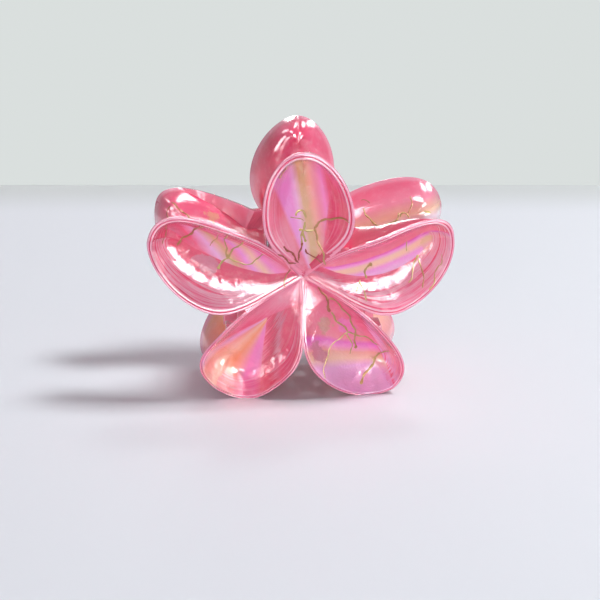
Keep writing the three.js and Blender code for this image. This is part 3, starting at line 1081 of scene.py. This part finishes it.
# The veins of four petals, on the inner skin or, where True, on the back that faces the hinge. Each vein:
# where it starts, as a share of the length and in units across; its heading in degrees from the petal's own
# direction; its run in millimetres; how many degrees it bends over that run; its radius in millimetres,
# before VEIN_FINENESS; its tone, from 0, olive gold, to 1, red brown; and how much its two ends swell.
VEINS = [
    (UPPER_LEFT, False, [
        ((0.7, 1.0), -75, 11, 15, 0.32, 0.5, EVEN),
        ((0.9, 0.7), -90, 7, -10, 0.18, 0.6, EVEN),
        ((0.45, 0.9), -75, 12, 5, 0.28, 0.1, (1, 2)),
        ((0.55, 1.0), -95, 9, -25, 0.22, 0.15, EVEN),
        ((0.5, 0.25), -125, 12, -150, 0.22, 0.15, EVEN),
        ((0.6, 0.9), -85, 6, 0, 0.14, 0.3, EVEN),
        ((0.1, 0.2), -90, 5, 0, 0.24, 0.7, EVEN),
    ]),
    (TOP, False, [
        ((0.3, -0.6), 140, 8, 10, 0.3, 0.9, EVEN),
        ((0.25, -0.75), 150, 7, -30, 0.26, 0.9, EVEN),
        ((0.3, -0.1), 180, 6, 10, 0.27, 0.8, (1.8, 1)),
        ((0.25, 0.0), 150, 6, -40, 0.25, 0.9, EVEN),
        ((0.3, 0.0), -10, 6, 10, 0.34, 0.0, EVEN),
        ((0.48, -0.02), 20, 5, -200, 0.32, 0.0, (1, 1.3)),
        ((0.4, -0.2), 90, 4, 20, 0.28, 0.0, (1.6, 1)),
        ((0.4, 0.2), 45, 10, 30, 0.3, 0.45, (2, 1)),
        ((0.4, 0.2), 155, 11, 10, 0.3, 0.35, EVEN),
        ((0.4, -0.1), 170, 5, 20, 0.24, 0.2, (1, 1.5)),
        ((0.5, -0.45), 120, 4, 0, 0.14, 0.3, EVEN),
        ((0.9, -0.6), 200, 4, 10, 0.32, 0.25, (1, 1.6)),
    ]),
    (UPPER_RIGHT, False, [
        ((0.45, 0.0), 155, 5, -60, 0.32, 0.3, (2.2, 1)),
        ((0.35, 0.35), 90, 5, 0, 0.16, 0.0, EVEN),
        ((0.35, 0.35), 140, 3, -20, 0.18, 0.2, EVEN),
        ((0.75, 0.2), 120, 7, 10, 0.2, 0.1, (3.6, 1)),
        ((0.75, 0.3), 90, 6, 20, 0.2, 0.2, EVEN),
        ((0.9, 0.2), 120, 9, 20, 0.2, 0.0, EVEN),
        ((0.7, -0.3), 90, 3, 0, 0.16, 0.1, EVEN),
    ]),
    (LOWER_RIGHT, False, [
        ((0.1, -0.2), -10, 8, 40, 0.36, 0.7, (1, 2.2)),
        ((0.2, -0.3), -20, 19, 60, 0.26, 0.35, (1.8, 2.8)),
        ((0.3, -0.1), 0, 8, -10, 0.28, 0.3, EVEN),
        ((0.5, -0.1), 0, 7, 45, 0.2, 0.1, EVEN),
        ((0.5, -0.1), 105, 13, -75, 0.2, 0.15, EVEN),
        ((0.5, -0.1), -45, 10, 30, 0.22, 0.3, EVEN),
        ((0.8, -0.45), 60, 9, 25, 0.36, 0.15, (1, 1.5)),
        ((0.8, -0.45), -60, 3, -50, 0.24, 0.15, EVEN),
    ]),
    (UPPER_LEFT, True, [
        ((0.5, 0.7), -110, 14, 170, 0.26, 0.3, EVEN),
        ((0.7, 0.2), 70, 4, -160, 0.2, 0.1, EVEN),
        ((0.75, 0.25), 55, 5, 20, 0.18, 0.5, EVEN),
        ((0.85, 0.2), 10, 2, -60, 0.3, 0.1, EVEN),
        ((0.5, 0.9), 0, 2.5, -80, 0.15, 0.7, EVEN),
    ]),
    (UPPER_RIGHT, True, [
        ((0.9, -0.6), 170, 8, -40, 0.3, 0.7, EVEN),
        ((0.9, -0.5), 60, 4, 60, 0.2, 0.9, EVEN),
    ]),
]
VEIN_STEP = 0.3
EDGE_JUMP = 1.5  # a vein ends where its next point would lie further off than this
VEIN_FINENESS = 0.85
VEIN_SQUASH = 0.42
VEIN_LIFT = 0.25


def vein_route(number, start, heading, length, bend, order):
    """Points in the petal's plane along a vein that bends and kinks, and how far along it each is."""
    run = np.arange(0, length + VEIN_STEP, VEIN_STEP)
    kinks = 0.32 * np.sin(run * 1.1 + 2 * order) + 0.2 * np.sin(run * 2.6 + 5 * order)
    way = np.radians(heading + bend * run / run[-1]) + kinks
    steps = VEIN_STEP * np.stack([np.cos(way), np.sin(way)], -1)
    first = (start[0] * PETALS[number]["length"], start[1] * ACROSS_UNIT)
    return np.cumsum(steps, axis=0) - steps[0] + first, run


def on_skin(jaw, number, flat, back):
    """Drops a petal-plane route onto a jaw, up to the petal's edge: places and normals, in millimetres."""
    side = -1 if back else 1
    toward = flower_frame(number)[2] * -side
    places, normals = [], []
    for along, across in flat:
        origin = placed(number, np.array((along, across, side * 40.0)))
        hit, place, normal, _ = jaw.ray_cast(Vector(origin) * MM, Vector(toward))
        place = np.array(place) / MM
        if not hit or (places and np.linalg.norm(place - places[-1]) > EDGE_JUMP):
            break
        places.append(place)
        normals.append(np.array(normal))
    return np.array(places), np.array(normals)


def smoothed(values, passes):
    for _ in range(passes):
        values[1:-1] = (values[:-2] + 2 * values[1:-1] + values[2:]) / 4
    return values


def vein_mesh(jaw, number, back, route, radius, swells, order):
    """Vertices and faces of one thin raised vein on a jaw's skin."""
    flat, run = vein_route(number, *route, order)
    places, normals = on_skin(jaw, number, flat, back)
    run = run[: len(places)]
    places, normals = smoothed(places, 3), smoothed(normals, 6)
    uneven = 1 + 0.22 * np.sin(run * 2.7 + 3 * order) + 0.12 * np.sin(run * 6.1 + order)
    left = run[-1] - run
    swell = 1 + (swells[0] - 1) * np.exp(-2 * run**2) + (swells[1] - 1) * np.exp(-2 * left**2)
    radii = VEIN_FINENESS * radius * uneven * swell
    places += VEIN_LIFT * radii[:, None] * normals
    rounded = np.sqrt(np.clip(np.minimum(run, left) + 0.02, 0, 0.3) / 0.3)
    return tube(places, radii * rounded, sides=8, squash=VEIN_SQUASH, normals=normals)


def vein_object(jaw, name):
    """All the veins of one jaw as one body, with each vein's tone on its points."""
    vertices, faces, tones = [], [], []
    order = 0
    for number, back, veins in VEINS:
        for start, heading, run, bend, radius, tone, swells in veins:
            more, around = vein_mesh(jaw, number, back, (start, heading, run, bend), radius, swells, order)
            faces += [tuple(len(vertices) + index for index in face) for face in around]
            vertices += more
            tones += [tone] * len(more)
            order += 1
    made = mesh_object(name, vertices, faces)
    attribute = made.data.attributes.new("vein_tone", "FLOAT", "POINT")
    attribute.data.foreach_set("value", np.array(tones, np.float32))
    return smooth(made, 60)


def vein_material():
    """Gold-brown glaze, from olive gold to red brown."""
    nodes = Surface("gold_vein")
    tone = nodes.times(nodes.attribute("vein_tone"), 0.75)
    tone = nodes.scaled(nodes.noise(220, detail=3.0), 0.3, tone)
    colours = [(0.1, (0.75, 0.69, 0.42)), (0.4, (0.70, 0.56, 0.34))]
    colours += [(0.7, (0.64, 0.36, 0.24)), (0.95, (0.56, 0.18, 0.16))]
    grain = nodes.noise(1800, detail=2.0)
    nodes.set(
        Base_Color=nodes.ramp(tone, colours),
        Metallic=0.25,
        Roughness=nodes.scaled(grain, 0.2, 0.25),
        Normal=nodes.bump(grain, 0.02),
        Coat_Weight=0.6,
        Coat_Roughness=0.05,
    )
    return nodes.material


# ---------------------------------------------------------------- stage


CAMERA_AZIMUTH = math.radians(-4.3)
CAMERA_ELEVATION = math.radians(15.2)
CAMERA_DISTANCE = 512.0
CAMERA_LENS = 113.9
CLIP_MIDDLE = 34.0  # the height that the camera circles round
AIM_BELOW = 10.9  # how far under that middle it aims

# Windows of the room, which only reflections show: azimuth of the middle from the front towards the right,
# half the width, lowest and highest elevation in degrees, and brightness.
WINDOWS = [
    (29, 27, 12, 43, 14.0),
    (-10, 5, 6, 11, 9.0),
    (-32, 42, 61, 79, 12.0),
    (-31, 9, -5, 15, 9.0),
    (183, 7, 14, 25, 9.0),
    (150, 11, 40, 58, 8.0),
    (-125, 9, 36, 56, 6.0),
    (-70, 10, 8, 30, 9.0),
    (145, 7, 18, 33, 8.0),
]


def direction(azimuth, elevation):
    """The way out from the clip. The azimuth turns from the front towards the right."""
    level = math.cos(elevation)
    return Vector((math.sin(azimuth) * level, -math.cos(azimuth) * level, math.sin(elevation)))


def make_camera():
    """The camera in front of the clip, a little to its left and above it."""
    target = Vector((0, 0, CLIP_MIDDLE * MM))
    camera = linked("camera", bpy.data.cameras.new("camera"))
    camera.data.sensor_width = 36
    camera.data.lens = CAMERA_LENS
    camera.data.clip_start = 0.01
    camera.location = target + direction(CAMERA_AZIMUTH, CAMERA_ELEVATION) * CAMERA_DISTANCE * MM
    aim = target - Vector((0, 0, AIM_BELOW * MM))
    camera.rotation_mode = "QUATERNION"
    camera.rotation_quaternion = (aim - camera.location).to_track_quat("-Z", "Y")
    bpy.context.scene.camera = camera


def make_floor():
    reach, back_edge, fade = 3000, 240, 50
    corners = [(-reach, -reach, 0), (reach, -reach, 0), (reach, back_edge, 0), (-reach, back_edge, 0)]
    floor = mesh_object("floor", corners, [(0, 1, 2, 3)])
    near, far = (0.88, 0.895, 0.92), (0.80, 0.82, 0.82)
    edges = ((back_edge - fade) * MM, back_edge * MM)
    floor.data.materials.append(stage_material("pale_floor", near, far, *edges))
    floor.rotation_euler.z = CAMERA_AZIMUTH


def area_light(name, azimuth, elevation, distance, size, power, colour=(1.0, 1.0, 1.0)):
    """A soft light that aims at the clip, from an azimuth and an elevation in degrees."""
    light = bpy.data.lights.new(name, "AREA")
    light.shape = "RECTANGLE"
    light.size, light.size_y = size
    light.energy = power
    light.color = colour
    lamp = linked(name, light)
    way = direction(math.radians(azimuth), math.radians(elevation))
    lamp.location = Vector((0, 0, 0.035)) + way * distance
    lamp.rotation_mode = "QUATERNION"
    lamp.rotation_quaternion = (-way).to_track_quat("-Z", "Y")
    lamp.visible_camera = False
    lamp.visible_glossy = False


def make_lights():
    area_light("right_key", 78, 57, 1.2, (0.28, 0.28), 11.0, (0.97, 1.0, 1.0))
    area_light("right_back", 150, 60, 1.2, (0.25, 0.25), 1.6)
    area_light("front_fill", -8, 13, 2.2, (0.9, 0.7), 13.5, (1.0, 0.93, 0.95))


def make_world():
    """A plain room: one pale tone to the camera, an even soft light, and windows in reflections alone."""
    world = bpy.data.worlds.new("room")
    bpy.context.scene.world = world
    world.use_nodes = True
    world.cycles.sampling_method = "NONE"
    room = Nodes(world.node_tree)
    output = room.add("OutputWorld")
    way = room.add("SeparateXYZ")
    room.link(room.add("TexCoord").outputs["Generated"], way.inputs[0])
    x, y, z = way.outputs
    azimuth = room.math("ARCTAN2", x, room.times(y, -1.0))
    elevation = room.math("ARCSINE", z)
    glow = 0.35
    for middle, half_width, low, high, strength in WINDOWS:
        away = room.minus(azimuth, math.radians(middle))
        away = room.math("ABSOLUTE", room.math("WRAP", away, math.pi, -math.pi))
        side = math.radians(half_width)
        inside = room.between(away, side + 0.015, side - 0.015)
        above = room.between(elevation, math.radians(low - 1), math.radians(low + 1))
        below = room.between(elevation, math.radians(high + 1), math.radians(high - 1))
        inside = room.times(room.times(inside, above), below)
        glow = room.scaled(inside, strength, glow)
    path = room.add("LightPath")
    shades = []
    soft_light, wall = ((0.97, 0.92, 0.95), 0.26), ((0.855, 0.875, 0.87), 1.0)
    for colour, strength in (soft_light, ((1.0, 1.0, 1.0), glow), wall):
        shade = room.add("Background")
        shade.inputs["Color"].default_value = srgb(*colour)
        room.put(strength, shade.inputs["Strength"])
        shades.append(shade.outputs[0])
    mirrored = room.add("MixShader")
    seen = room.add("MixShader")
    room.link(path.outputs["Is Glossy Ray"], mirrored.inputs[0])
    room.link(path.outputs["Is Camera Ray"], seen.inputs[0])
    room.link(shades[0], mirrored.inputs[1])
    room.link(shades[1], mirrored.inputs[2])
    room.link(mirrored.outputs[0], seen.inputs[1])
    room.link(shades[2], seen.inputs[2])
    room.link(seen.outputs[0], output.inputs["Surface"])


# ---------------------------------------------------------------- the clip

make_camera()
make_floor()
make_lights()
make_world()
bpy.context.scene.view_settings.view_transform = "Standard"

petal_materials = [
    petal_material("pearl_plastic_" + name, inner, outer, rim_strength)
    for name, inner, outer, rim_strength in zip(PETAL_NAMES, INNER, OUTER, RIM_STRENGTHS)
]
petal_materials.append(plain_plastic("pearl_plastic_web", RED_PINK, DEEP_PINK))
petal_materials.append(plain_plastic("pearl_plastic_claw", SALMON, RIM_PINK))

front_jaw = flower_jaw()
front_jaw.name = "front_flower"
for material in petal_materials:
    front_jaw.data.materials.append(material)
smooth(front_jaw)
back_jaw = turned_copy(front_jaw, "back_flower")

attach(front_jaw, "front_jaw")
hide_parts("front_flower_jaw")
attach(back_jaw, "back_jaw")
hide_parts("back_flower_jaw")

front_veins = vein_object(front_jaw, "front_veins")
front_veins.data.materials.append(vein_material())
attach(front_veins, "front_jaw")
back_veins = turned_copy(front_veins, "back_veins")
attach(back_veins, "back_jaw")

pin = smooth(hinge_pin())
pin.data.materials.append(steel_material("pin_steel", (0.82, 0.82, 0.84), 0.16))
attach(pin, "front_jaw")
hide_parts("hinge_pin")

spring = smooth(torsion_spring())
spring.data.materials.append(steel_material("spring_steel", (0.68, 0.69, 0.71), 0.25))
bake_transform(spring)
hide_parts("torsion_spring")
